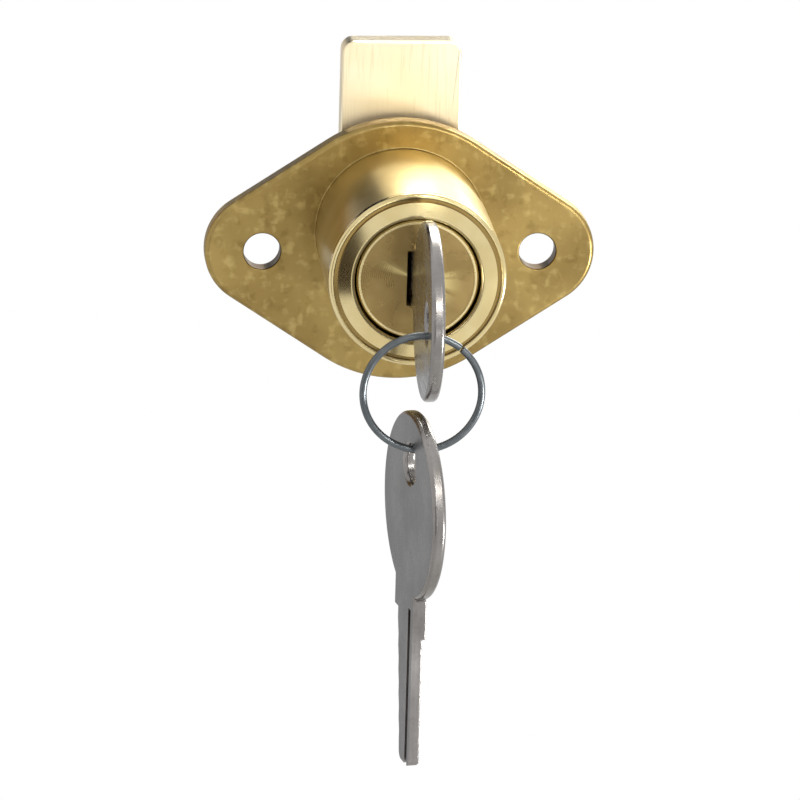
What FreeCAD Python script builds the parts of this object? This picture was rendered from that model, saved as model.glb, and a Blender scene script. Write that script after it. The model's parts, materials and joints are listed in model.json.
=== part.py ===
import FreeCAD
import Part
import math
import os

V = FreeCAD.Vector

# Drawer lock: a disc-tumbler deadbolt with two keys on a wire ring.
# Millimetres. +Z is the way the bolt throws, the key goes in along +Y, +X is to the right of someone
# who faces the lock. The origin is midway between the two screw holes, on the flange's front face.

# Flange
flange_t = 2.6
flange_mid_r = 17.0
flange_end_r = 7.3
flange_edge = 0.4
screw_spacing = 35.2
screw_hole_d = 4.7

# Barrel, with its axis above the line of the screws
barrel_rise = 2.7
barrel_d = 22.2
barrel_length = 22.9
base_step = 0.25
sleeve_start = 8.0
sleeve_t = 0.45
bead_r = 0.75
bead_facets = 6
lip_drop = 0.8
lip_t = 0.5
lip_d = 16.2

# Plug
plug_d = 12.7
head_d = 15.2
head_t = 2.0
head_edge = 0.2
face_recess = 0.15
face_rim = 0.45
face_setback = 0.6
mouth_bevel = 0.4
tail_t = 1.4
groove_depth = 1.0
crank_r = 4.75
crank_pin_d = 3.0
crank_swing = 1.76
lug_angle = 24.0
lug_t = 1.0
lug_gap = 0.1

# Keys
key_t = 1.7
blade_w = 6.3
blade_length = 19.0
bow_w = 22.0
bow_length = 23.4
bow_to_stop = 2.3
stop_w = 9.3
neck_overlap = 3.0
key_hole_d = 4.9
key_hole_inset = 6.35
ward_w = 1.1
ward_depth = 0.4
ward_height = 0.9
rabbet_w = 1.2
rabbet_depth = 0.45
rabbet_land = 2.4
tip_r = 1.0
tip_drop = 0.2
first_cut = 0.45
cut_step = 0.35
cut_land = 1.4
first_land = 1.4

# Wafers and their springs
wafer_count = 5
wafer_t = 0.9
wafer_w = 6.4
wafer_setback = 4.3
tip_land = 2.72
wafer_travel = 0.8
wafer_lug_w = 1.7
wafer_lug_h = 0.9
window_corner_r = 0.3
spring_wire = 0.2
spring_d = 1.3
spring_length = 1.8
spring_turns = 3
turn_facets = 10

# Bolt and the case behind the flange
bolt_w = 15.2
bolt_t = 3.3
bolt_length = 28.0
bolt_setback = 4.0
bolt_reach = 26.5
bolt_corner_r = 1.6
rail_w = 1.6
case_top = 11.6
case_bottom = 14.0
cover_t = 1.0
ear_r = 2.3
ear_reach = 1.6
ear_drop = 4.0
rivet_d = 2.0
rivet_head_d = 3.6
rivet_head_t = 0.8
rivet_edge = 0.5
rivet_grip = 2.4

# Retaining clip behind the barrel
clip_t = 0.8
clip_reach = 1.0
clip_gap_angle = 80.0
clip_corner_r = 0.5
recess_margin = 0.6

# Ring
ring_d = 15.4
ring_wire = 0.95
wire_facets = 10
ring_gap_angle = 2.5
ring_gap_at = 38.0
ring_shift = 1.1

# Spare key's pose on the ring
spare_turn = 10.5
spare_shift = 0.5

# Clearances
run_fit = 0.05
slide_fit = 0.1
seat_gap = 0.03
loose_fit = 0.18

# How far a cut runs past a face, and a solid into the one that it is fused with
past = 1.0

# Places worked out from the sizes
axis_z = barrel_rise
barrel_r = barrel_d / 2
plug_r = plug_d / 2
head_r = head_d / 2
wafer_slot_w = wafer_w + 2 * slide_fit
wafer_span = blade_length + face_recess - seat_gap - wafer_setback - tip_land
wafer_pitch = wafer_span / (wafer_count - 1)
face_y = -(barrel_length - face_setback)
lip_back_y = -(barrel_length - bead_r - lip_drop - lip_t)
casting_front_y = lip_back_y + seat_gap
head_back_y = face_y + head_t
counterbore_y = head_back_y + run_fit
bolt_front_y = bolt_setback
channel_floor_y = bolt_front_y - slide_fit
bolt_back_y = bolt_front_y + bolt_t
cover_y = bolt_back_y + slide_fit
shell_back_y = channel_floor_y - tail_t - clip_t - 3 * slide_fit
clip_y = shell_back_y + slide_fit
tail_y = clip_y + clip_t + run_fit
tail_end_y = tail_y + tail_t
channel_half_w = bolt_w / 2 + slide_fit
case_half_w = channel_half_w + rail_w
bolt_throw = bolt_reach - flange_mid_r
stop_y = face_y + face_recess - seat_gap
bow_end = blade_length + bow_to_stop + bow_length
key_hole_at = bow_end - key_hole_inset
ring_r = (ring_d - ring_wire) / 2
ring_height = math.sqrt(ring_r ** 2 - ring_shift ** 2)
ring_sag = ring_height - math.sqrt(ring_r ** 2 - (ring_shift + key_t / 2) ** 2)
ring_top_z = axis_z - key_hole_d / 2 + ring_wire / 2 + loose_fit + ring_sag
ring_y = stop_y + blade_length - key_hole_at
ring_centre_z = ring_top_z - ring_height
spare_top_z = ring_centre_z - math.sqrt(ring_r ** 2 - spare_shift ** 2)
spring_x = wafer_w / 2 + wafer_lug_w / 2
lug_top = spring_length / 2


def plate(face, y0, y1):
    """A face in the plane y = 0 pulled from y0 to y1."""
    moved = face.copy()
    moved.translate(V(0, y0, 0))
    return moved.extrude(V(0, y1 - y0, 0))


def rod(radius, y0, y1, x=0.0, z=0.0):
    """A cylinder along Y."""
    return Part.makeCylinder(radius, y1 - y0, V(x, y0, z), V(0, 1, 0))


def block(x0, x1, y0, y1, z0, z1):
    """A box between two corners."""
    return Part.makeBox(x1 - x0, y1 - y0, z1 - z0, V(x0, y0, z0))


def rounded(x0, x1, z0, z1, radius):
    """A rectangle in the plane y = 0 with rounded corners."""
    solid = block(x0, x1, 0, 1, z0, z1)
    upright = [e for e in solid.Edges if abs(e.Vertexes[0].Z - e.Vertexes[-1].Z) < 1e-6]
    upright = [e for e in upright if abs(e.Vertexes[0].X - e.Vertexes[-1].X) < 1e-6]
    solid = solid.makeFillet(radius, upright)
    return [f for f in solid.Faces if f.BoundBox.YMax < 1e-6][0]


def sector(r0, r1, start, end, y0, y1):
    """Part of a flat ring about the barrel's axis, from one angle to another, in degrees from +X to +Z."""
    a = math.radians(start)
    b = math.radians(end)
    m = (a + b) / 2

    def at(r, angle):
        return V(r * math.cos(angle), 0, axis_z + r * math.sin(angle))

    edges = [
        Part.Arc(at(r1, a), at(r1, m), at(r1, b)).toShape(),
        Part.LineSegment(at(r1, b), at(r0, b)).toShape(),
        Part.Arc(at(r0, b), at(r0, m), at(r0, a)).toShape(),
        Part.LineSegment(at(r0, a), at(r1, a)).toShape(),
    ]
    return plate(Part.Face(Part.Wire(edges)), y0, y1)


def two_circle_hull(x0, z0, r0, x1, z1, r1):
    """A face round two circles, joined by their outer tangents."""
    run = math.hypot(x1 - x0, z1 - z0)
    heading = math.atan2(z1 - z0, x1 - x0)
    lean = math.acos((r0 - r1) / run)

    def at(x, z, r, angle):
        return V(x + r * math.cos(angle), 0, z + r * math.sin(angle))

    up = heading + lean
    down = heading - lean
    edges = [
        Part.LineSegment(at(x0, z0, r0, up), at(x1, z1, r1, up)).toShape(),
        Part.Arc(at(x1, z1, r1, up), at(x1, z1, r1, heading), at(x1, z1, r1, down)).toShape(),
        Part.LineSegment(at(x1, z1, r1, down), at(x0, z0, r0, down)).toShape(),
        Part.Arc(at(x0, z0, r0, down), at(x0, z0, r0, heading + math.pi), at(x0, z0, r0, up)).toShape(),
    ]
    return Part.Face(Part.Wire(edges))


def wafer_y(index):
    """The middle of a wafer along the plug, counted from the front."""
    return face_y + wafer_setback + index * wafer_pitch


def cut_height(index):
    """How high the blade stands above the key's centre line under a wafer."""
    return blade_w / 2 - first_cut - index * cut_step


def bore_grooves():
    """Grooves at the top and bottom of the bore, where the wafers' ends lock."""
    half = wafer_slot_w / 2 + slide_fit
    depth = plug_r + run_fit + wafer_travel + slide_fit
    end_y = wafer_y(wafer_count - 1) + wafer_t
    return block(-half, half, casting_front_y - past, end_y, axis_z - depth, axis_z + depth)


def flange_outline():
    """A round middle and two round ends, joined by tangents."""
    left = two_circle_hull(0, 0, flange_mid_r, -screw_spacing / 2, 0, flange_end_r)
    right = two_circle_hull(0, 0, flange_mid_r, screw_spacing / 2, 0, flange_end_r)
    return left.fuse(right).removeSplitter().Faces[0]


def ears(radius):
    """The two places beside the case where its cover is riveted."""
    x = case_half_w + ear_reach
    return [(-x, -ear_drop, radius), (x, -ear_drop, radius)]


def case_outline():
    """The case behind the flange: a rounded block with two ears."""
    body = plate(rounded(-case_half_w, case_half_w, -case_bottom, case_top, rail_w), 0, 1)
    for x, z, r in ears(ear_r):
        lobe = two_circle_hull(0, z, r, x, z, r - 0.01)
        body = body.fuse(plate(lobe, 0, 1))
    body = body.removeSplitter()
    return [f for f in body.Faces if f.BoundBox.YMax < 1e-6][0]


def housing():
    """The die casting: flange, barrel and the case that guides the bolt."""
    core_r = barrel_r - sleeve_t - seat_gap
    solid = plate(flange_outline(), 0, flange_t)
    solid = solid.fuse(rod(barrel_r - base_step, -sleeve_start + seat_gap, 0, z=axis_z))
    solid = solid.fuse(rod(core_r, casting_front_y, 0, z=axis_z))
    solid = solid.fuse(plate(case_outline(), flange_t, cover_y))
    solid = solid.removeSplitter()
    channel = block(-channel_half_w, channel_half_w, channel_floor_y, cover_y + past,
                    bolt_reach - bolt_throw - bolt_length - slide_fit, case_top + past)
    cuts = [channel]
    cuts.append(rod(plug_r + run_fit, casting_front_y - past, channel_floor_y, z=axis_z))
    cuts.append(rod(head_r + slide_fit, casting_front_y - past, counterbore_y, z=axis_z))
    cuts.append(rod(plug_r + clip_reach + recess_margin, shell_back_y, channel_floor_y, z=axis_z))
    cuts.append(bore_grooves())
    half_lug = lug_angle / 2
    spare = math.degrees(slide_fit / plug_r)
    cuts.append(sector(plug_r - past, head_r + slide_fit, -half_lug - spare, 180 + half_lug + spare,
                       casting_front_y - past, counterbore_y + lug_t + run_fit))
    for side in (-1, 1):
        cuts.append(rod(screw_hole_d / 2, -past, flange_t + past, x=side * screw_spacing / 2))
    for x, z, r in ears(rivet_d / 2 + seat_gap):
        cuts.append(rod(r, cover_y - rivet_grip, cover_y + past, x=x, z=z))
    for cut in cuts:
        solid = solid.cut(cut)
    edges = [e for e in solid.Edges if is_flange_rim(e)]
    return solid.makeChamfer(flange_edge, edges)


def is_flange_rim(edge):
    """Is an edge on the outline of the flange's front face, away from the barrel and the screw holes?"""
    box = edge.BoundBox
    if abs(box.YMin) > 1e-6 or abs(box.YMax) > 1e-6:
        return False
    middle = edge.valueAt((edge.FirstParameter + edge.LastParameter) / 2)
    from_axis = math.hypot(middle.x, middle.z - axis_z)
    from_screw = math.hypot(abs(middle.x) - screw_spacing / 2, middle.z)
    return from_axis > barrel_r + flange_edge and from_screw > screw_hole_d / 2 + flange_edge


def barrel_sleeve():
    """The drawn brass sleeve: skirt, rolled bead and the lip that leads in to the plug."""
    inner = barrel_r - sleeve_t
    bead_y = -(barrel_length - bead_r)
    profile = [(-sleeve_start, inner), (-sleeve_start, barrel_r)]
    for step in range(bead_facets + 1):
        angle = math.pi * step / bead_facets
        profile.append((bead_y - bead_r * math.sin(angle), barrel_r - bead_r + bead_r * math.cos(angle)))
    profile += [(lip_back_y - lip_t, lip_d / 2), (lip_back_y, lip_d / 2), (lip_back_y, inner)]
    corners = [V(0, y, axis_z + r) for y, r in profile]
    face = Part.Face(Part.makePolygon(corners + corners[:1]))
    return face.revolve(V(0, 0, axis_z), V(0, 1, 0), 360)


def upright_rectangle(half_w, half_h, y):
    """A rectangle's wire about the barrel's axis, across it at y."""
    corners = [V(x, y, axis_z + z) for x, z in
               ((-half_w, -half_h), (half_w, -half_h), (half_w, half_h), (-half_w, half_h))]
    return Part.makePolygon(corners + corners[:1])


def keyway():
    """The slot for the blade, with the ward that fits the blade's groove and a bevelled mouth."""
    half_w = key_t / 2 + slide_fit
    half_h = blade_w / 2 + slide_fit
    end_y = stop_y + blade_length + slide_fit
    slot = block(-half_w, half_w, face_y - past, end_y, axis_z - half_h, axis_z + half_h)
    ward_z = axis_z - blade_w / 2 + ward_height
    ward = block(-half_w - past, -half_w + ward_depth - slide_fit, face_y - past, end_y + past,
                 ward_z + slide_fit, ward_z + ward_w - slide_fit)
    slot = slot.cut(ward)
    mouth_y = face_y + face_recess
    mouth = upright_rectangle(half_w + mouth_bevel, half_h + mouth_bevel, mouth_y)
    throat = upright_rectangle(half_w, half_h, mouth_y + mouth_bevel)
    return slot.fuse(Part.makeLoft([mouth, throat], True, True))


def plug():
    """The turned plug: head, body with slots for the wafers, clip groove, tail and crank pin."""
    solid = rod(plug_r, head_back_y - past, tail_end_y, z=axis_z)
    solid = solid.fuse(rod(head_r, face_y, head_back_y, z=axis_z))
    rim = [e for e in solid.Edges if abs(e.BoundBox.YMax - face_y) < 1e-6]
    solid = solid.makeChamfer(head_edge, rim)
    solid = solid.cut(rod(head_r - face_rim, face_y - past, face_y + face_recess, z=axis_z))
    lug = sector(plug_r - past, head_r - lug_gap, 180 - lug_angle / 2, 180 + lug_angle / 2,
                 head_back_y - past, head_back_y + lug_t)
    solid = solid.fuse(lug)
    groove = rod(plug_r + past, clip_y - run_fit, tail_y, z=axis_z)
    solid = solid.cut(groove.cut(rod(plug_r - groove_depth, clip_y - run_fit, tail_y, z=axis_z)))
    solid = solid.fuse(rod(crank_pin_d / 2, tail_end_y - past, bolt_back_y, z=axis_z + crank_r))
    solid = solid.cut(keyway())
    slot_half_t = wafer_t / 2 + slide_fit / 2
    for index in range(wafer_count):
        y = wafer_y(index)
        solid = solid.cut(block(-wafer_slot_w / 2, wafer_slot_w / 2, y - slot_half_t, y + slot_half_t,
                                axis_z - plug_r - past, axis_z + plug_r + past))
        low = axis_z + lug_top - wafer_lug_h - wafer_travel - slide_fit
        top = axis_z + lug_top + spring_length
        solid = solid.cut(block(0, wafer_w / 2 + wafer_lug_w + slide_fit, y - slot_half_t, y + slot_half_t,
                                low, axis_z + lug_top + slide_fit))
        well = Part.makeCylinder(spring_d / 2 + slide_fit, top - low, V(spring_x, y, low))
        solid = solid.cut(well)
    return solid


def wafer(index):
    """One tumbler: a plate with round ends, a window for the blade and a lug under its spring."""
    y = wafer_y(index)
    disc = rod(plug_r - seat_gap, y - wafer_t / 2, y + wafer_t / 2, z=axis_z)
    solid = disc.common(block(-wafer_w / 2, wafer_w / 2, y - past, y + past,
                              axis_z - plug_r, axis_z + plug_r))
    solid = solid.fuse(block(0, wafer_w / 2 + wafer_lug_w, y - wafer_t / 2, y + wafer_t / 2,
                             axis_z + lug_top - wafer_lug_h, axis_z + lug_top))
    half_w = key_t / 2 + 2 * slide_fit
    window = rounded(-half_w, half_w, axis_z - blade_w / 2 - slide_fit,
                     axis_z + cut_height(index) + slide_fit / 2, window_corner_r)
    return solid.cut(plate(window, y - past, y + past)).removeSplitter()


def wafer_spring(index):
    """The coil spring in the well above a wafer's lug, ruled from section to section of its wire."""
    half = spring_wire / 2
    middle = (spring_d - spring_wire) / 2
    steps = spring_turns * turn_facets
    rise = (spring_length - 2 * seat_gap - spring_wire) / steps
    corners = [V(middle - half, 0, -half), V(middle + half, 0, -half),
               V(middle + half, 0, half), V(middle - half, 0, half)]
    sections = []
    for step in range(steps + 1):
        section = Part.makePolygon(corners + corners[:1])
        section.rotate(V(0, 0, 0), V(0, 0, 1), step * 360 / turn_facets)
        section.translate(V(0, 0, step * rise))
        sections.append(section)
    solid = Part.makeLoft(sections, True, True)
    solid.translate(V(spring_x, wafer_y(index), axis_z + lug_top + seat_gap + half))
    return solid


def retaining_clip():
    """The sprung C that sits in the plug's groove behind the barrel."""
    inner = plug_r - groove_depth + run_fit
    half = clip_gap_angle / 2
    solid = sector(inner, plug_r + clip_reach, 270 + half, 630 - half, clip_y, clip_y + clip_t)
    corners = [e for e in solid.Edges if e.BoundBox.YLength > clip_t / 2]
    return solid.makeFillet(clip_corner_r, corners)


def crank_slot():
    """The bolt's slot for the crank pin: tight at both ends of the turn, wide where the pin swings by."""
    z = axis_z + crank_r
    snug = crank_pin_d / 2 + slide_fit
    lobe = crank_swing + snug
    return two_circle_hull(0, z, snug, crank_r + snug - lobe, z, lobe)


def bolt():
    """The deadbolt: a flat bar with rounded corners and the crank's slot."""
    bottom = bolt_reach - bolt_length
    bar = rounded(-bolt_w / 2, bolt_w / 2, bottom, bolt_reach, bolt_corner_r)
    solid = plate(bar, bolt_front_y, bolt_back_y)
    return solid.cut(plate(crank_slot(), bolt_front_y - past, bolt_back_y + past))


def cover_plate():
    """The pressed plate that closes the case from behind."""
    solid = plate(case_outline(), cover_y + seat_gap, cover_y + seat_gap + cover_t)
    for x, z, r in ears(rivet_d / 2 + seat_gap):
        solid = solid.cut(rod(r, cover_y - past, cover_y + cover_t + past, x=x, z=z))
    return solid


def cover_rivets():
    """Two drive rivets, each with a bevelled head, that hold the cover."""
    seat_y = cover_y + cover_t + 2 * seat_gap
    rivets = []
    for x, z, r in ears(rivet_d / 2):
        shank = rod(r, cover_y - rivet_grip + seat_gap, seat_y + rivet_head_t / 2, x=x, z=z)
        head = rod(rivet_head_d / 2, seat_y, seat_y + rivet_head_t, x=x, z=z)
        rim = [e for e in head.Edges if abs(e.BoundBox.YMin - seat_y - rivet_head_t) < 1e-6]
        rivets.append(shank.fuse(head.makeChamfer(rivet_edge, rim)))
    return Part.makeCompound(rivets)


def blade_outline():
    """The blade's side view, (along, up), along from the tip: cuts fall towards the tip."""
    half = blade_w / 2
    points = [(0, -half), (0, cut_height(wafer_count - 1) - tip_drop)]
    for index in reversed(range(wafer_count)):
        centre = blade_length - (wafer_y(index) - stop_y)
        points.append((centre - cut_land / 2, cut_height(index)))
        points.append((centre + cut_land / 2, cut_height(index)))
    points.append((blade_length - first_land, half))
    points.append((blade_length, half))
    return points


def key_blank():
    """A key in the plane x = 0, its tip at y = 0, its bow towards -Y, its cuts up.

    One side has the ward groove, and the other a rabbet along the blade's spine.
    """
    half = blade_w / 2
    neck = blade_length + bow_to_stop
    in_bow = -(neck + neck_overlap)
    corners = [V(0, -along, up) for along, up in blade_outline()]
    corners += [V(0, in_bow, half), V(0, in_bow, -half)]
    blade = Part.Face(Part.makePolygon(corners + corners[:1])).extrude(V(key_t, 0, 0))
    lead = [e for e in blade.Edges if e.BoundBox.XLength > key_t / 2 and e.BoundBox.YMin > -tip_r / 2]
    blade = blade.makeFillet(tip_r, lead)
    stop = Part.makeBox(key_t, bow_to_stop + neck_overlap, stop_w / 2, V(0, in_bow, 0))
    bow = Part.Ellipse(V(0, 0, 0), max(bow_length, bow_w) / 2, min(bow_length, bow_w) / 2)
    bow = Part.Face(Part.Wire(bow.toShape())).extrude(V(0, 0, key_t))
    if bow_length > bow_w:
        bow.rotate(V(0, 0, 0), V(0, 0, 1), 90)
    bow.rotate(V(0, 0, 0), V(0, 1, 0), 90)
    bow.translate(V(0, -neck - bow_length / 2, 0))
    solid = blade.fuse(stop).fuse(bow)
    hole = Part.makeCylinder(key_hole_d / 2, key_t + 2 * past, V(-past, -key_hole_at, 0), V(1, 0, 0))
    solid = solid.cut(hole).removeSplitter()
    ward_z = -half + ward_height
    solid = solid.cut(block(-past, ward_depth, -neck + ward_w, past, ward_z, ward_z + ward_w))
    rabbet = block(key_t - rabbet_depth, key_t + past, -blade_length + rabbet_land, past,
                   -half - past, rabbet_w - half)
    solid = solid.cut(rabbet)
    solid.translate(V(-key_t / 2, 0, 0))
    return solid


def key():
    """The key in the plug."""
    solid = key_blank()
    solid.translate(V(0, stop_y + blade_length, axis_z))
    return solid


def key_ring():
    """The wire ring, hanging in the key's hole, with the butt joint that opens it."""
    corners = []
    for side in range(wire_facets):
        angle = 2 * math.pi * side / wire_facets
        corners.append(V(ring_r + ring_wire / 2 * math.cos(angle), 0, ring_wire / 2 * math.sin(angle)))
    face = Part.Face(Part.makePolygon(corners + corners[:1]))
    solid = face.revolve(V(0, 0, 0), V(0, 0, 1), 360 - ring_gap_angle)
    solid.rotate(V(0, 0, 0), V(1, 0, 0), 90)
    solid.rotate(V(0, 0, 0), V(0, 1, 0), ring_gap_at - 90)
    solid.translate(V(-ring_shift, ring_y, ring_centre_z))
    return solid


def spare_key():
    """The same key hanging on the ring, tip down."""
    solid = key_blank()
    solid.translate(V(0, key_hole_at, 0))
    solid.rotate(V(0, 0, 0), V(1, 0, 0), -90)
    solid.rotate(V(0, 0, 0), V(0, 0, 1), spare_turn)
    hang = ring_wire / 2 + loose_fit - key_hole_d / 2
    solid.translate(V(-ring_shift - spare_shift, ring_y, spare_top_z + hang))
    return solid


pieces = {
    "housing": housing(),
    "barrel_sleeve": barrel_sleeve(),
    "plug": plug(),
    "retaining_clip": retaining_clip(),
    "bolt": bolt(),
    "cover_plate": cover_plate(),
    "cover_rivets": cover_rivets(),
    "key": key(),
    "key_ring": key_ring(),
    "spare_key": spare_key(),
}
for number in range(wafer_count):
    pieces[f"wafer_{number + 1}"] = wafer(number)
    pieces[f"wafer_spring_{number + 1}"] = wafer_spring(number)

os.makedirs("parts", exist_ok=True)
for name, shape in pieces.items():
    shape.exportStep(f"parts/{name}.step")
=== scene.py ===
import json
import math

import bmesh
import bpy
from mathutils import Matrix, Quaternion, Vector


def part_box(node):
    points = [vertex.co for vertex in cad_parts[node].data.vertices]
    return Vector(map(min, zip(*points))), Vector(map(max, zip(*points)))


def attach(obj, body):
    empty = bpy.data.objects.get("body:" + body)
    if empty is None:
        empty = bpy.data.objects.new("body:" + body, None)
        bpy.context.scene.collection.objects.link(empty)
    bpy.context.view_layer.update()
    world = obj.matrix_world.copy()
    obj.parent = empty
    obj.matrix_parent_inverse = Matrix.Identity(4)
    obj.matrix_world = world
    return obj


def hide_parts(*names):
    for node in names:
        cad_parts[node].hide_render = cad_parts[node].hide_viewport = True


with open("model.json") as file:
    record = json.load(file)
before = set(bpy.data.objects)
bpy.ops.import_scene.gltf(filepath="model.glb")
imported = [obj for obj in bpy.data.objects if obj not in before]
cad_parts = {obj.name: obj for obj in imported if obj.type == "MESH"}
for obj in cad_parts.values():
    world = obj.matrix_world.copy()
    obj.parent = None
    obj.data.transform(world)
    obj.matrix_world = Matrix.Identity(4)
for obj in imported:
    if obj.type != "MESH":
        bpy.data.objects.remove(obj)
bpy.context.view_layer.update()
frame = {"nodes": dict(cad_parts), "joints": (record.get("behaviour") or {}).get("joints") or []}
scene = bpy.context.scene
mm = 0.001


# The camera: a long lens a little left of the lock and above it, rolled a degree and a half as in the
# photograph. It looks at the point of the flange's front plane in the middle of the picture.
view_middle = Vector((0.527 * mm, 0, -19.785 * mm))
view_distance = 850 * mm
view_left = math.radians(5.96)
view_up = math.radians(17.1)
view_roll = math.radians(1.62)
view_back = Vector((-math.sin(view_left) * math.cos(view_up),
                    -math.cos(view_left) * math.cos(view_up),
                    math.sin(view_up)))
camera = bpy.data.objects.new("camera", bpy.data.cameras.new("camera"))
camera.data.lens = 298.5
camera.data.sensor_width = 36
camera.data.clip_start = 0.05
camera.data.clip_end = 50
camera.location = view_middle + view_back * view_distance
looking = (-view_back).to_track_quat("-Z", "Y") @ Quaternion((0, 0, 1), view_roll)
camera.rotation_euler = looking.to_euler()
scene.collection.objects.link(camera)
scene.camera = camera


# The housing: a zinc die casting, brass plated. Flange, barrel and bolt case are one piece, with the
# soft edges of a casting. The barrel is turned bright, and the rest is brushed by hand before
# plating, which leaves it mottled.
casting_edge = 0.22 * mm
axis_height = frame["joints"][0]["pos_m"][2]
flange_front = 0.0
barrel_inside_r = 10.3 * mm
screw_x = 17.6 * mm
screw_hole_r = 2.35 * mm
sharp_edge = math.radians(25)
flat_angle = math.radians(0.5)
merge_gap = 0.001 * mm
bevel_steps = 4


class Value:
    """An output of a finish's nodes. Arithmetic on it adds Math nodes."""

    def __init__(self, finish, socket):
        self.finish = finish
        self.socket = socket

    def math(self, operation, *others):
        sockets = dict(enumerate((self,) + others))
        return self.finish.node("ShaderNodeMath", {"operation": operation}, sockets)

    def __add__(self, other):
        return self.math("ADD", other)

    def __sub__(self, other):
        return self.math("SUBTRACT", other)

    def __rsub__(self, other):
        return self.finish.node("ShaderNodeMath", {"operation": "SUBTRACT"}, {0: other, 1: self})

    def __mul__(self, other):
        return self.math("MULTIPLY", other)

    def __truediv__(self, other):
        return self.math("DIVIDE", other)

    __radd__ = __add__
    __rmul__ = __mul__


class Finish:
    """A finish: one material with its nodes and its shader, which starts out as metal."""

    def __init__(self, name, roughness=0.3):
        self.material = bpy.data.materials.new(name)
        self.material.use_nodes = True
        self.tree = self.material.node_tree
        self.shader = self.tree.nodes["Principled BSDF"]
        self.shader.inputs["Metallic"].default_value = 1.0
        self.shader.inputs["Roughness"].default_value = roughness
        self.place = self.node("ShaderNodeTexCoord", out="Object")

    def node(self, kind, settings=None, inputs=None, out=0):
        """Adds a node, sets it up, then fills its sockets with values or links."""
        made = self.tree.nodes.new(kind)
        for key, value in (settings or {}).items():
            setattr(made, key, value)
        for key, value in (inputs or {}).items():
            if isinstance(value, Value):
                self.tree.links.new(value.socket, made.inputs[key])
            else:
                made.inputs[key].default_value = value
        return Value(self, made.outputs[out])

    def noise(self, per_mm, detail, stretch=(1, 1, 1), turn=(0, 0, 0)):
        """Noise with so many lumps a millimetre, times a factor along X, Y and Z."""
        size = tuple(per_mm * factor / mm for factor in stretch)
        mapping = {"Vector": self.place, "Rotation": turn, "Scale": size}
        placed = self.node("ShaderNodeMapping", None, mapping)
        return self.node("ShaderNodeTexNoise", None, {"Vector": placed, "Scale": 1.0, "Detail": detail})

    def along(self, axis):
        """Where a point is along an axis, in millimetres."""
        parts = self.node("ShaderNodeSeparateXYZ", None, {0: self.place}, out=axis)
        return parts / mm

    def beside(self, axis, middle=0.0):
        """How far a point is from a middle along an axis, on either side, in millimetres."""
        return (self.along(axis) - middle / mm).math("ABSOLUTE")

    def from_axis(self):
        """How far a point is from the barrel's axis, in millimetres."""
        x = self.along("X")
        z = self.along("Z") - axis_height / mm
        return (x * x + z * z).math("SQRT")

    def step(self, value, start, end):
        """0 before the start, 1 past the end, smooth between. The end may be the lower one."""
        settings = {"interpolation_type": "SMOOTHSTEP"}
        return self.node("ShaderNodeMapRange", settings, {0: value, 1: start, 2: end})

    def mix(self, share, first, second):
        """The first colour, with a share of the second."""
        return self.node("ShaderNodeMix", {"data_type": "RGBA"}, {0: share, 6: first, 7: second}, out=2)

    def paint(self, colour, roughness, height=None, depth=0.01, strength=1.0):
        """Links the shader's colour and roughness, and a bump so many millimetres deep."""
        self.tree.links.new(colour.socket, self.shader.inputs["Base Color"])
        self.tree.links.new(roughness.socket, self.shader.inputs["Roughness"])
        if height is not None:
            sockets = {"Height": height, "Distance": depth * mm, "Strength": strength}
            bump = self.node("ShaderNodeBump", None, sockets)
            self.tree.links.new(bump.socket, self.shader.inputs["Normal"])
        return self.material


def tone(red, green, blue):
    """A colour of 0 to 255 as it looks on a screen, in the shader's linear values."""
    shares = [channel / 255 for channel in (red, green, blue)]
    linear = [((share + 0.055) / 1.055) ** 2.4 if share > 0.04045 else share / 12.92 for share in shares]
    return (*linear, 1.0)


def edged_copy(node, name, edge, edge_share=None, full_width=False):
    """A merged copy of a CAD node with its sharp edges rounded, which replaces the node.

    edge_share gives the share of the rounding at a place. With full_width the rounding keeps its
    width where edges come near each other.
    """
    shape = bmesh.new()
    shape.from_mesh(frame["nodes"][node].data)
    bmesh.ops.remove_doubles(shape, verts=shape.verts, dist=merge_gap)
    bmesh.ops.dissolve_limit(shape, angle_limit=flat_angle, verts=shape.verts, edges=shape.edges)
    weights = shape.edges.layers.float.new("bevel_weight_edge")
    for rim in shape.edges:
        if rim.calc_face_angle(0) > sharp_edge:
            middle = (rim.verts[0].co + rim.verts[1].co) / 2
            rim[weights] = 1.0 if edge_share is None else edge_share(middle)
    mesh = bpy.data.meshes.new(name)
    shape.to_mesh(mesh)
    shape.free()
    if "custom_normal" in mesh.attributes:
        mesh.attributes.remove(mesh.attributes["custom_normal"])
    mesh.materials.clear()
    mesh.shade_smooth()
    piece = bpy.data.objects.new(name, mesh)
    scene.collection.objects.link(piece)
    round_off = piece.modifiers.new("edges", "BEVEL")
    round_off.limit_method = "WEIGHT"
    round_off.width = edge
    round_off.segments = bevel_steps
    round_off.use_clamp_overlap = not full_width
    round_off.harden_normals = True
    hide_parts(node)
    return piece


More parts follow.
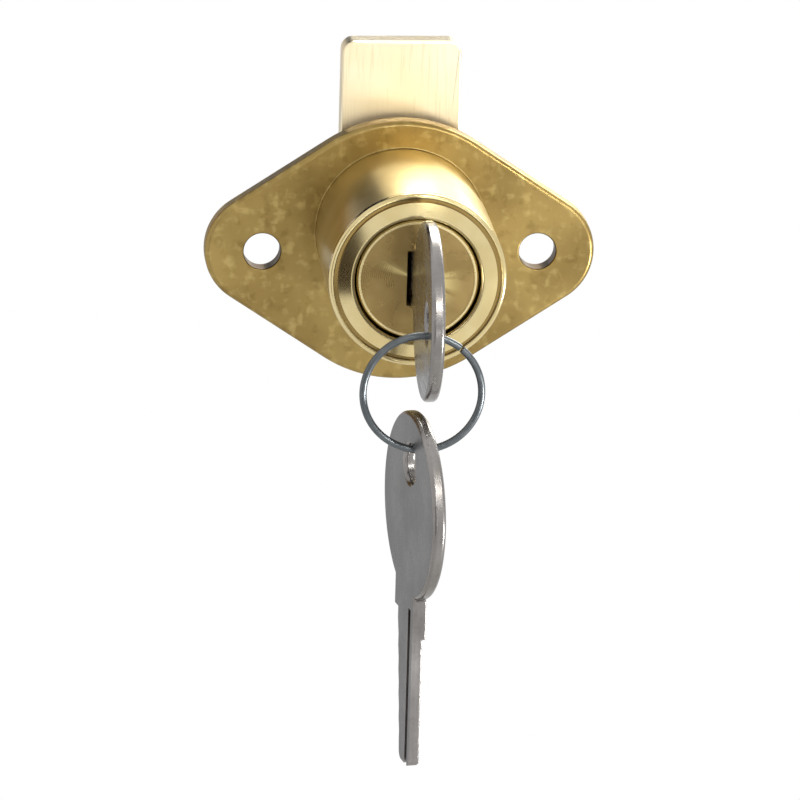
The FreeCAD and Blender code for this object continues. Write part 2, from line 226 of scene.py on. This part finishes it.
def plated_casting():
    finish = Finish("plated_casting")
    cloud = finish.noise(0.1, 4)
    grain = finish.noise(0.5, 5)
    scuff = finish.noise(0.9, 3, stretch=(1.0, 1, 0.45), turn=(0, 0.6, 0))
    cross = finish.noise(0.9, 3, stretch=(0.45, 1, 1.0), turn=(0, -0.5, 0))
    brass, pale_brass = tone(142, 119, 70), tone(158, 135, 82)
    colour = finish.mix(finish.step(cloud, 0.35, 0.65), brass, pale_brass)
    bright_scuff = tone(192, 170, 110)
    colour = finish.mix(finish.step(scuff * cross, 0.24, 0.42) * 0.5, colour, bright_scuff)
    dark_pit = tone(112, 90, 48)
    colour = finish.mix(finish.step(grain, 0.53, 0.70) * 0.4, colour, dark_pit)
    rough = 0.32 + 0.12 * finish.step(cloud + grain * 0.5, 0.6, 0.9)
    ahead = finish.step(finish.along("Y"), flange_front / mm - 0.1, flange_front / mm - 0.5)
    bored = finish.step(finish.from_axis(), barrel_inside_r / mm + 0.1, barrel_inside_r / mm - 0.1)
    barrel = ahead * (1 - bored)
    turned_bright = tone(214, 196, 144)
    colour = finish.mix(barrel, colour, turned_bright)
    across = finish.beside("X") - screw_x / mm
    up = finish.along("Z")
    from_screw = (across * across + up * up).math("SQRT")
    holed = finish.step(from_screw, screw_hole_r / mm + 0.15, screw_hole_r / mm + 0.05)
    # Painted shade: the walls of the screw holes and the inside of the barrel's bore are darkened.
    painted_hole_shade = tone(70, 52, 24)
    colour = finish.mix(holed + ahead * bored, colour, painted_hole_shade)
    line = finish.noise(1.0, 3, stretch=(0.1, 8, 0.1))
    relief = (scuff + cross + grain * 0.7) * 0.4 * (1 - barrel) + line * barrel
    return finish.paint(colour, rough * (1 - barrel) + 0.3 * barrel, relief, depth=0.02)


housing = edged_copy("housing", "housing_casting", casting_edge, full_width=True)
housing.data.materials.append(plated_casting())
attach(housing, "root")


# The sleeve: thin drawn brass, pushed over the front of the barrel and turned in over its end. There
# a fine groove parts its rounded corner from a bezel that rises to the plug. It is polished bright.
sleeve_low, sleeve_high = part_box("barrel_sleeve")
sleeve_r = sleeve_high.x
sleeve_front = sleeve_low.y
sleeve_back = sleeve_high.y
sleeve_wall = 0.45 * mm
corner_r = 0.4 * mm
corner_back = 0.45 * mm
groove_r = 10.2 * mm
groove_w = 0.5 * mm
groove_depth = 0.4 * mm
bezel_rise = 0.5 * mm
bezel_r = 8.3 * mm
bezel_nose = 0.4 * mm
bezel_wall = 2.0 * mm
back_edge = 0.12 * mm
groove_edge = 0.1 * mm
side_start = 1.2 * mm
arc_steps = 12
round_steps = 160
smooth_below = math.radians(32)


def turned(name, profile, steps, centres):
    """A closed profile of (along Y, radius), turned about each centre (x, z) in so many steps."""
    count = len(profile)
    corners = []
    faces = []
    for x, z in centres:
        start = len(corners)
        for step in range(steps):
            angle = 2 * math.pi * step / steps
            corners += [(x + r * math.cos(angle), y, z + r * math.sin(angle)) for y, r in profile]
            near = start + step * count
            far = start + (step + 1) % steps * count
            for corner in range(count):
                after = (corner + 1) % count
                faces.append((near + corner, near + after, far + after, far + corner))
    mesh = bpy.data.meshes.new(name)
    mesh.from_pydata(corners, [], faces)
    shape = bmesh.new()
    shape.from_mesh(mesh)
    bmesh.ops.dissolve_degenerate(shape, edges=shape.edges, dist=merge_gap)
    bmesh.ops.remove_doubles(shape, verts=shape.verts, dist=merge_gap)
    bmesh.ops.recalc_face_normals(shape, faces=shape.faces)
    shape.to_mesh(mesh)
    shape.free()
    mesh.shade_smooth()
    mesh.set_sharp_from_angle(angle=smooth_below)
    piece = bpy.data.objects.new(name, mesh)
    scene.collection.objects.link(piece)
    return piece


def arc(y, r, radius, start, end):
    """Points of an arc about (y, r), from one angle to another, in degrees from outwards to forwards."""
    angles = [math.radians(start + (end - start) * step / arc_steps) for step in range(arc_steps + 1)]
    return [(y - radius * math.sin(angle), r + radius * math.cos(angle)) for angle in angles]


def sleeve_profile():
    """(along Y, radius), from the back round the outside to the front and in to the plug."""
    inner = sleeve_r - sleeve_wall
    corner_y = sleeve_front + corner_back
    outer_side = groove_r + groove_w / 2
    inner_side = groove_r - groove_w / 2
    nose_y = sleeve_front + bezel_nose
    slope = math.degrees(math.atan2(bezel_rise, inner_side - bezel_r))
    points = [(sleeve_back, inner), (sleeve_back, sleeve_r - back_edge)]
    points += [(sleeve_back - back_edge, sleeve_r)]
    points += arc(corner_y + corner_r, sleeve_r - corner_r, corner_r, 0, 90)
    points += [(corner_y, outer_side + groove_edge), (corner_y + groove_edge, outer_side)]
    points += [(corner_y + groove_depth, outer_side), (corner_y + groove_depth, inner_side)]
    points += [(corner_y, inner_side)]
    points += arc(nose_y, bezel_r, bezel_nose, 90 - slope, 180)
    points += [(sleeve_front + bezel_wall, bezel_r - bezel_nose), (sleeve_front + bezel_wall, inner)]
    return points


def polished_brass():
    finish = Finish("polished_brass")
    cloud = finish.noise(0.2, 3)
    line = finish.noise(1.0, 3, stretch=(0.1, 8, 0.1))
    brass, pale_brass = tone(210, 191, 138), tone(220, 203, 154)
    colour = finish.mix(finish.step(cloud, 0.3, 0.7), brass, pale_brass)
    side = finish.step(finish.from_axis(), sleeve_r / mm - 0.3, sleeve_r / mm - 0.1)
    side_y = (sleeve_front + side_start) / mm
    side = side * finish.step(finish.along("Y"), side_y, side_y + 0.4)
    from_groove = (finish.from_axis() - groove_r / mm).math("ABSOLUTE")
    groove_y = (sleeve_front + corner_back) / mm
    in_groove = finish.step(from_groove, groove_w / mm / 2 + 0.05, groove_w / mm / 2)
    in_groove = in_groove * finish.step(finish.along("Y"), groove_y, groove_y + 0.2)
    # Painted shade: the groove is darkened inside.
    painted_groove_shade = tone(150, 126, 76)
    colour = finish.mix(in_groove, colour, painted_groove_shade)
    rough = 0.15 + 0.15 * side
    return finish.paint(colour, rough, line * side, depth=0.02)


sleeve = turned("barrel_sleeve_drawn", sleeve_profile(), round_steps, [(0, axis_height)])
sleeve.data.materials.append(polished_brass())
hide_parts("barrel_sleeve")
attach(sleeve, "root")


# The plug: turned brass. Inside a raised rim its face keeps the fine rings of the lathe, with painted
# glints in rays towards the middle; the same rays bump the face a little. The rim is polished and
# painted brighter still as a highlight. The keyway is broached through it; its mouth on the face and
# all that lies deeper than the face are painted dark as shade.
plug_edge = 0.1 * mm
plug_face_r = 7.15 * mm
plug_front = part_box("plug")[0].y
face_depth = 1.0 * mm
ring_pitch_mm = 0.26
ray_outer_r = 6.2 * mm
ray_inner_r = 1.6 * mm
rays_round = 1.6
mouth_half_w = 1.36 * mm
mouth_half_h = 3.4 * mm


def turned_brass():
    finish = Finish("turned_brass")
    radius = finish.from_axis()
    ring = (radius * (2 * math.pi / ring_pitch_mm) + finish.noise(0.5, 2) * 2.0).math("SINE")
    cloud = finish.noise(0.22, 3)
    ray_x = finish.along("X") / radius * rays_round
    ray_z = (finish.along("Z") - axis_height / mm) / radius * rays_round
    ray_at = finish.node("ShaderNodeCombineXYZ", None, {0: ray_x, 1: ray_z})
    ray = finish.node("ShaderNodeTexNoise", None, {"Vector": ray_at, "Scale": 1.0, "Detail": 3.0})
    brass, pale_brass = tone(146, 122, 76), tone(164, 140, 90)
    colour = finish.mix(finish.step(cloud, 0.35, 0.65), brass, pale_brass)
    inner = finish.step(radius, ray_outer_r / mm, ray_inner_r / mm)
    # Painted highlight: glints in rays on the face towards the middle.
    painted_glint = tone(238, 218, 150)
    colour = finish.mix(finish.step(ray, 0.53, 0.62) * inner, colour, painted_glint)
    # The rim is polished, and painted brighter still as a highlight.
    rim = finish.step(radius, plug_face_r / mm - 0.1, plug_face_r / mm)
    rim_polish_and_highlight = tone(226, 208, 156)
    colour = finish.mix(rim, colour, rim_polish_and_highlight)
    # Painted shade: everything deeper than the face, in the keyway and behind it, is darkened.
    behind_y = (plug_front + face_depth) / mm
    behind = finish.step(finish.along("Y"), behind_y, behind_y + 0.3)
    painted_inner_shade = tone(70, 52, 24)
    colour = finish.mix(behind, colour, painted_inner_shade)
    # Painted shadow: the face round the keyway's mouth is darkened.
    mouth = 1 - finish.step(finish.beside("X"), mouth_half_w / mm - 0.05, mouth_half_w / mm)
    from_middle = finish.beside("Z", axis_height)
    mouth = mouth * (1 - finish.step(from_middle, mouth_half_h / mm, mouth_half_h / mm + 0.1))
    painted_mouth_shadow = tone(46, 36, 20)
    colour = finish.mix(mouth, colour, painted_mouth_shadow)
    rough = 0.22 + 0.14 * finish.step(cloud, 0.3, 0.7)
    return finish.paint(colour, rough, ring + ray * 2.0, depth=0.012, strength=0.3)


plug = edged_copy("plug", "plug_turned", plug_edge)
plug.data.materials.append(turned_brass())
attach(plug, "plug")


# The wafers: five punched brass plates that slide in the plug's slots. They keep the CAD's shape, and
# get the fine parallel lines that the punch leaves.
def punched_brass():
    finish = Finish("punched_brass")
    line = finish.noise(0.8, 3, stretch=(5, 0.4, 0.4))
    brass, pale_brass = tone(176, 146, 84), tone(206, 178, 112)
    colour = finish.mix(finish.step(line, 0.3, 0.7), brass, pale_brass)
    return finish.paint(colour, 0.25 + 0.2 * line, line, depth=0.006, strength=0.6)


inner_names = [name for name in sorted(frame["nodes"]) if name.startswith("wafer_")]
wafer_names = [name for name in inner_names if "spring" not in name]
wafer_brass = punched_brass()
for name in wafer_names:
    wafer = frame["nodes"][name]
    wafer.data.materials.clear()
    wafer.data.materials.append(wafer_brass)


# The wafer springs: one coil of fine steel wire over each wafer's lug, in its well in the plug.
# They are wound by Geometry Nodes, one coil copied to each well.
coil_wire = 0.2 * mm
coil_turns = 3.0
spring_names = [name for name in inner_names if "spring" in name]
spring_low, spring_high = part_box(spring_names[0])
coil_middle = (spring_low + spring_high) / 2
coil_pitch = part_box(spring_names[1])[0].y - spring_low.y
coil_r = (spring_high.x - spring_low.x - coil_wire) / 2
coil_length = spring_high.z - spring_low.z - coil_wire


def new_tree(name, sizes):
    """A geometry tree with an input for each named size, a whole number for a count."""
    tree = bpy.data.node_groups.new(name, "GeometryNodeTree")
    for size in sizes:
        kind = "NodeSocketInt" if size == "Count" else "NodeSocketFloat"
        tree.interface.new_socket(name=size, in_out="INPUT", socket_type=kind)
    tree.interface.new_socket(name="Geometry", in_out="OUTPUT", socket_type="NodeSocketGeometry")
    return tree, tree.nodes.new("NodeGroupInput").outputs


def add(tree, kind, inputs=None, **settings):
    """Adds a geometry node with its settings, then its values or links."""
    made = tree.nodes.new(kind)
    for key, value in settings.items():
        setattr(made, key, value)
    for key, value in (inputs or {}).items():
        if isinstance(value, bpy.types.NodeSocket):
            tree.links.new(value, made.inputs[key])
        else:
            made.inputs[key].default_value = value
    return made


def finished(tree, last, material):
    """Ends a tree with real geometry in its material."""
    real = add(tree, "GeometryNodeRealizeInstances", {"Geometry": last.outputs[0]})
    dressed = add(tree, "GeometryNodeSetMaterial", {"Geometry": real.outputs[0], "Material": material})
    shown = tree.nodes.new("NodeGroupOutput")
    tree.links.new(dressed.outputs[0], shown.inputs[0])
    return tree


def spring_tree(material):
    """A tree that winds one coil and copies it along Y."""
    tree, given = new_tree("wafer_springs", ["Count", "Pitch", "Turns", "Radius", "Length", "Wire radius"])
    coil = add(tree, "GeometryNodeCurveSpiral", {
        "Resolution": 24, "Rotations": given["Turns"], "Start Radius": given["Radius"],
        "End Radius": given["Radius"], "Height": given["Length"]})
    wire = add(tree, "GeometryNodeCurvePrimitiveCircle", {"Resolution": 10, "Radius": given["Wire radius"]})
    swept = add(tree, "GeometryNodeCurveToMesh", {
        "Curve": coil.outputs[0], "Profile Curve": wire.outputs[0], "Fill Caps": True})
    step = add(tree, "ShaderNodeCombineXYZ", {"Y": given["Pitch"]})
    line = add(tree, "GeometryNodeMeshLine", {
        "Count": given["Count"], "Offset": step.outputs[0]}, mode="OFFSET")
    copied = add(tree, "GeometryNodeInstanceOnPoints", {
        "Points": line.outputs[0], "Instance": swept.outputs[0]})
    return finished(tree, copied, material)


def made_by_tree(name, tree, sizes, place):
    """Runs a tree with its sizes and keeps what it makes as a plain mesh, moved by a matrix."""
    maker = bpy.data.objects.new(name + "_maker", bpy.data.meshes.new(name + "_maker"))
    scene.collection.objects.link(maker)
    nodes = maker.modifiers.new("nodes", "NODES")
    nodes.node_group = tree
    for socket in tree.interface.items_tree:
        if socket.in_out == "INPUT":
            nodes[socket.identifier] = sizes[socket.name]
    depsgraph = bpy.context.evaluated_depsgraph_get()
    mesh = bpy.data.meshes.new_from_object(maker.evaluated_get(depsgraph), depsgraph=depsgraph)
    bpy.data.objects.remove(maker)
    mesh.transform(place)
    mesh.name = name
    piece = bpy.data.objects.new(name, mesh)
    scene.collection.objects.link(piece)
    return piece


def spring_wire_steel():
    finish = Finish("spring_wire_steel")
    cloud = finish.noise(2.0, 2)
    steel, bright_steel = tone(150, 152, 154), tone(196, 198, 200)
    colour = finish.mix(cloud, steel, bright_steel)
    return finish.paint(colour, 0.2 + 0.15 * cloud)


steel_wire = spring_wire_steel()
first_coil = Matrix.Translation((coil_middle.x, coil_middle.y, spring_low.z + coil_wire / 2))
coil_sizes = {"Count": len(spring_names), "Pitch": coil_pitch, "Turns": coil_turns,
              "Radius": coil_r, "Length": coil_length, "Wire radius": coil_wire / 2}
springs = made_by_tree("wafer_springs", spring_tree(steel_wire), coil_sizes, first_coil)
springs.data.shade_smooth()
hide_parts(*spring_names)
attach(springs, "plug")


# The retaining clip: a C of spring steel, snapped into the plug's groove behind the barrel. It keeps
# the plug from being drawn out with the key.
clip_edge = 0.1 * mm
clip = edged_copy("retaining_clip", "retaining_clip_sprung", clip_edge)
clip.data.materials.append(steel_wire)
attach(clip, "plug")


# The bolt: a flat bar of pale brass with rounded corners, which slides in the casting's channel. Its
# face is brushed along its length, and its sawn end is polished.
bolt_edge = 0.3 * mm
bolt_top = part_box("bolt")[1].z


def brushed_pale_brass():
    finish = Finish("brushed_pale_brass")
    line = finish.noise(1.2, 4, stretch=(3, 1, 0.12))
    cloud = finish.noise(0.1, 2)
    pale_brass, paler_brass = tone(240, 226, 192), tone(247, 236, 210)
    colour = finish.mix(finish.step(cloud, 0.3, 0.7), pale_brass, paler_brass)
    brushed_line = tone(206, 186, 136)
    colour = finish.mix(finish.step(line, 0.5, 0.75) * 0.35, colour, brushed_line)
    end = finish.step(finish.along("Z"), bolt_top / mm - 0.4, bolt_top / mm - 0.2)
    return finish.paint(colour, 0.32 + 0.12 * line - 0.18 * end, line, depth=0.003)


bolt = edged_copy("bolt", "bolt_bar", bolt_edge)
bolt.data.materials.append(brushed_pale_brass())
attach(bolt, "bolt")


# The cover plate: pressed from zinc-coated steel sheet, it closes the bolt's case from behind. The
# coating shows as flat grains of lighter and darker grey.
cover_edge = 0.15 * mm
grains_per_mm = 0.35


def zinc_plate():
    finish = Finish("zinc_plate")
    pattern = {"Vector": finish.place, "Scale": grains_per_mm / mm}
    cells = finish.node("ShaderNodeTexVoronoi", None, pattern, out="Color")
    spangle = finish.node("ShaderNodeSeparateColor", None, {0: cells})
    cloud = finish.noise(0.25, 4)
    zinc_grey, pale_grey = tone(150, 152, 150), tone(176, 178, 176)
    colour = finish.mix(spangle, zinc_grey, pale_grey)
    return finish.paint(colour, 0.32 + 0.15 * cloud, cloud, depth=0.01, strength=0.4)


zinc = zinc_plate()
cover = edged_copy("cover_plate", "cover_plate_pressed", cover_edge)
cover.data.materials.append(zinc)
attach(cover, "root")


# The rivets: two drive rivets with domed heads, hammered into the casting beside the bolt's channel.
# They hold the cover plate by its ears and are zinc coated too.
rivet_low, rivet_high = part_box("cover_rivets")
rivet_head_r = 1.8 * mm
rivet_shank_r = 1.0 * mm
rivet_head_t = 0.8 * mm
dome_steps = 8
rivet_steps = 48


def rivet_profile():
    """(along Y, radius), from the shank's end to the top of the dome."""
    head_y = rivet_high.y - rivet_head_t
    points = [(rivet_low.y, 0.0), (rivet_low.y, rivet_shank_r)]
    points += [(head_y, rivet_shank_r), (head_y, rivet_head_r)]
    for step in range(1, dome_steps + 1):
        angle = math.pi / 2 * step / dome_steps
        points.append((head_y + rivet_head_t * math.sin(angle), rivet_head_r * math.cos(angle)))
    return points


rivet_z = (rivet_low.z + rivet_high.z) / 2
rivet_x = rivet_high.x - rivet_head_r
rivet_centres = [(-rivet_x, rivet_z), (rivet_x, rivet_z)]
rivets = turned("cover_rivets_domed", rivet_profile(), rivet_steps, rivet_centres)
rivets.data.materials.append(zinc)
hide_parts("cover_rivets")
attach(rivets, "root")


# The keys: punched from nickel-plated brass sheet and tumbled, so that the bow's edges are well
# rounded and the blade's only a little. One is in the plug, and the spare hangs on the ring.
bow_edge = 0.55 * mm
blade_share = 0.1
hole_to_neck = 18.0 * mm
hole_inset = 6.35 * mm
hole_drop = 1.8 * mm


def tumbled_nickel(name, scratched):
    finish = Finish(name)
    cloud = finish.noise(0.16, 3)
    fine = finish.noise(1.6, 4)
    scratch = finish.noise(0.9, 4, stretch=scratched)
    nickel, pale_nickel = tone(128, 124, 121), tone(150, 147, 145)
    colour = finish.mix(finish.step(cloud, 0.3, 0.7), nickel, pale_nickel)
    dark_mark = tone(106, 98, 96)
    colour = finish.mix(finish.step(fine, 0.55, 0.75) * 0.3, colour, dark_mark)
    rough = 0.2 + 0.12 * finish.step(cloud + scratch, 0.7, 1.3)
    return finish.paint(colour, rough, fine + scratch, depth=0.008, strength=0.4)


def key_piece(node, name, hole, material, body):
    """A key's copy: full rounding on its bow, and a share of it on its blade."""
    def share(point):
        return 1.0 if (point - hole).length < hole_to_neck else blade_share

    piece = edged_copy(node, name, bow_edge, share, full_width=True)
    piece.data.materials.append(material)
    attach(piece, body)
    return piece


key_low, key_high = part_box("key")
key_hole = Vector((0, key_low.y + hole_inset, (key_low.z + key_high.z) / 2))
key_nickel = tumbled_nickel("key_nickel", (0.3, 0.12, 2))
key = key_piece("key", "key_in_plug", key_hole, key_nickel, "key")

spare_swing = next(joint for joint in frame["joints"] if joint["name"] == "spare_swing")
spare_hole = Vector(spare_swing["pos_m"]) - Vector((0, 0, hole_drop))
spare_nickel = tumbled_nickel("spare_nickel", (2, 2, 0.12))
spare = key_piece("spare_key", "key_on_ring", spare_hole, spare_nickel, "spare")


# The ring: one loop of dark steel wire, bent round and left with a narrow gap. Geometry Nodes sweep
# the wire along the loop.
ring_low, ring_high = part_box("key_ring")
ring_middle = (ring_low + ring_high) / 2
wire_r = (ring_high.y - ring_low.y) / 2
loop_r = (ring_high.x - ring_low.x) / 2 - wire_r
gap_at = math.radians(38)
gap_angle = math.radians(2.5)
sharp_cap = math.radians(40)


def ring_tree(material):
    """A tree that sweeps a wire along an arc that is nearly a whole turn."""
    tree, given = new_tree("wire_ring", ["Radius", "Wire radius", "Gap"])
    sweep = add(tree, "ShaderNodeMath", {0: 2 * math.pi, 1: given["Gap"]}, operation="SUBTRACT")
    loop = add(tree, "GeometryNodeCurveArc", {
        "Resolution": 160, "Radius": given["Radius"], "Sweep Angle": sweep.outputs[0]})
    wire = add(tree, "GeometryNodeCurvePrimitiveCircle", {"Resolution": 20, "Radius": given["Wire radius"]})
    swept = add(tree, "GeometryNodeCurveToMesh", {
        "Curve": loop.outputs[0], "Profile Curve": wire.outputs[0], "Fill Caps": True})
    return finished(tree, swept, material)


def dark_wire():
    finish = Finish("dark_wire")
    cloud = finish.noise(0.7, 3)
    dark_steel, worn_steel = tone(78, 84, 88), tone(116, 120, 122)
    colour = finish.mix(cloud, dark_steel, worn_steel)
    return finish.paint(colour, 0.24 + 0.16 * cloud, cloud, depth=0.01, strength=0.4)


upright = Matrix.Rotation(math.radians(90), 4, "X")
gap_turned = Matrix.Rotation(gap_at - math.radians(90), 4, "Y")
hung = Matrix.Translation(ring_middle) @ gap_turned @ upright
ring_sizes = {"Radius": loop_r, "Wire radius": wire_r, "Gap": gap_angle}
ring = made_by_tree("key_ring_wire", ring_tree(dark_wire()), ring_sizes, hung)
ring.data.shade_smooth()
ring.data.set_sharp_from_angle(angle=sharp_cap)
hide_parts("key_ring")
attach(ring, "ring")


# The floor: a round sheet of pale card, well below the hanging keys. It fades towards its edge into
# the white all round it.
floor_z = -250 * mm
floor_r = 420 * mm
fade_start = 0.45 * floor_r
fade_end = 0.95 * floor_r
floor_steps = 96


def pale_sheet():
    finish = Finish("pale_sheet", 0.9)
    finish.shader.inputs["Metallic"].default_value = 0.0
    finish.shader.inputs["Base Color"].default_value = tone(244, 244, 242)
    outwards = finish.node("ShaderNodeVectorMath", {"operation": "LENGTH"}, {0: finish.place}, out="Value")
    fade = finish.step(outwards, fade_start, fade_end)
    card_shader = Value(finish, finish.shader.outputs[0])
    white = finish.node("ShaderNodeEmission", None, {"Color": (1, 1, 1, 1), "Strength": 1.0})
    both = finish.node("ShaderNodeMixShader", None, {0: fade, 1: card_shader, 2: white})
    finish.tree.links.new(both.socket, finish.tree.nodes["Material Output"].inputs["Surface"])
    return finish.material


floor_mesh = bpy.data.meshes.new("floor")
floor_angles = [2 * math.pi * step / floor_steps for step in range(floor_steps)]
floor_edge = [(floor_r * math.cos(angle), floor_r * math.sin(angle), 0) for angle in floor_angles]
floor_mesh.from_pydata(floor_edge, [], [tuple(range(floor_steps))])
floor_mesh.materials.append(pale_sheet())
floor = bpy.data.objects.new("floor", floor_mesh)
floor.location.z = floor_z
scene.collection.objects.link(floor)


# The studio: a white tent, two small lamps low and high on the right and a faint one by the camera.
# White cards behind and above give the brass its bright streaks, dark and brown ones its shadows.
def facing(place, aim):
    """The turn that points a lamp or a card at its aim."""
    return (Vector(aim) - Vector(place)).to_track_quat("-Z", "Y").to_euler()


def lamp(name, place, aim, size, power):
    """A square lamp of so many watts, hidden from the camera."""
    light = bpy.data.lights.new(name, "AREA")
    light.size = size
    light.energy = power
    made = bpy.data.objects.new(name, light)
    made.location = place
    made.rotation_euler = facing(place, aim)
    made.visible_camera = False
    scene.collection.objects.link(made)


lamp("lamp_camera", (0.06, -0.59, -0.09), (0, 0, 0), 0.05, 0.03)
lamp("lamp_low_right", (0.45, -0.32, -0.20), (0, -0.03, -0.02), 0.06, 2.6)
lamp("lamp_high_right", (0.33, -0.47, 0.27), (0, -0.04, 0.01), 0.05, 1.2)


warm_white = (255, 252, 244)
barrel_middle = (0, -0.01, 0)


def card(name, place, aim, width, height, shade, strength=1.0):
    """A card that glows in one even shade and shows only in reflections."""
    mesh = bpy.data.meshes.new(name)
    mesh.from_pydata([(-width / 2, -height / 2, 0), (width / 2, -height / 2, 0),
                      (width / 2, height / 2, 0), (-width / 2, height / 2, 0)], [], [(0, 1, 2, 3)])
    finish = Finish(name, 1.0)
    finish.shader.inputs["Metallic"].default_value = 0.0
    finish.shader.inputs["Specular IOR Level"].default_value = 0.0
    finish.shader.inputs["Base Color"].default_value = (0, 0, 0, 1)
    finish.shader.inputs["Emission Color"].default_value = tone(*shade)
    finish.shader.inputs["Emission Strength"].default_value = strength
    mesh.materials.append(finish.material)
    made = bpy.data.objects.new(name, mesh)
    made.location = place
    made.rotation_euler = facing(place, aim)
    made.visible_camera = False
    made.visible_shadow = False
    made.visible_diffuse = False
    scene.collection.objects.link(made)


card("card_white_high", (0.065, 0.27, 0.28), barrel_middle, 0.20, 0.22, warm_white, 12.0)
card("card_white_right", (0.22, 0.27, 0.18), barrel_middle, 0.19, 0.24, warm_white, 9.0)
card("card_above_right", (0.24, -0.46, 0.33), (0, -0.03, 0), 0.32, 0.34, warm_white, 1.3)
card("card_tall", (0.098, -0.52, 0.245), (0, -0.045, 0.01), 0.055, 0.12, (255, 252, 248), 26.0)
card("card_dark", (-0.118, 0.305, 0.22), barrel_middle, 0.19, 0.36, (10, 7, 3))
card("card_left", (-0.26, 0.30, 0.10), barrel_middle, 0.28, 0.34, (140, 110, 66))
card("card_low_behind", (-0.17, 0.30, -0.16), (0, -0.04, -0.03), 0.30, 0.20, (190, 192, 194))
card("card_behind", (-0.01, 0.38, 0.11), (0, 0, 0), 0.16, 0.07, (110, 110, 110))
card("card_front_left", (-0.25, -0.53, -0.07), (0, -0.03, 0), 0.17, 0.30, (60, 50, 36))

# The tent: white where the camera or a reflection sees it, and a little dimmer as light.
tent_light = 0.8
tent_white = 1.0
world = bpy.data.worlds.new("white_tent")
world.use_nodes = True
scene.world = world
tent = world.node_tree
ray_kind = tent.nodes.new("ShaderNodeLightPath")
seen = ray_kind.outputs["Is Camera Ray"]
for kind in ("Is Glossy Ray", "Is Transmission Ray"):
    either = tent.nodes.new("ShaderNodeMath")
    either.operation = "MAXIMUM"
    tent.links.new(seen, either.inputs[0])
    tent.links.new(ray_kind.outputs[kind], either.inputs[1])
    seen = either.outputs[0]
strength = tent.nodes.new("ShaderNodeMapRange")
strength.inputs["To Min"].default_value = tent_light
strength.inputs["To Max"].default_value = tent_white
tent.links.new(seen, strength.inputs[0])
tent.nodes["Background"].inputs["Color"].default_value = (1, 1, 1, 1)
tent.links.new(strength.outputs[0], tent.nodes["Background"].inputs["Strength"])
scene.view_settings.view_transform = "Standard"
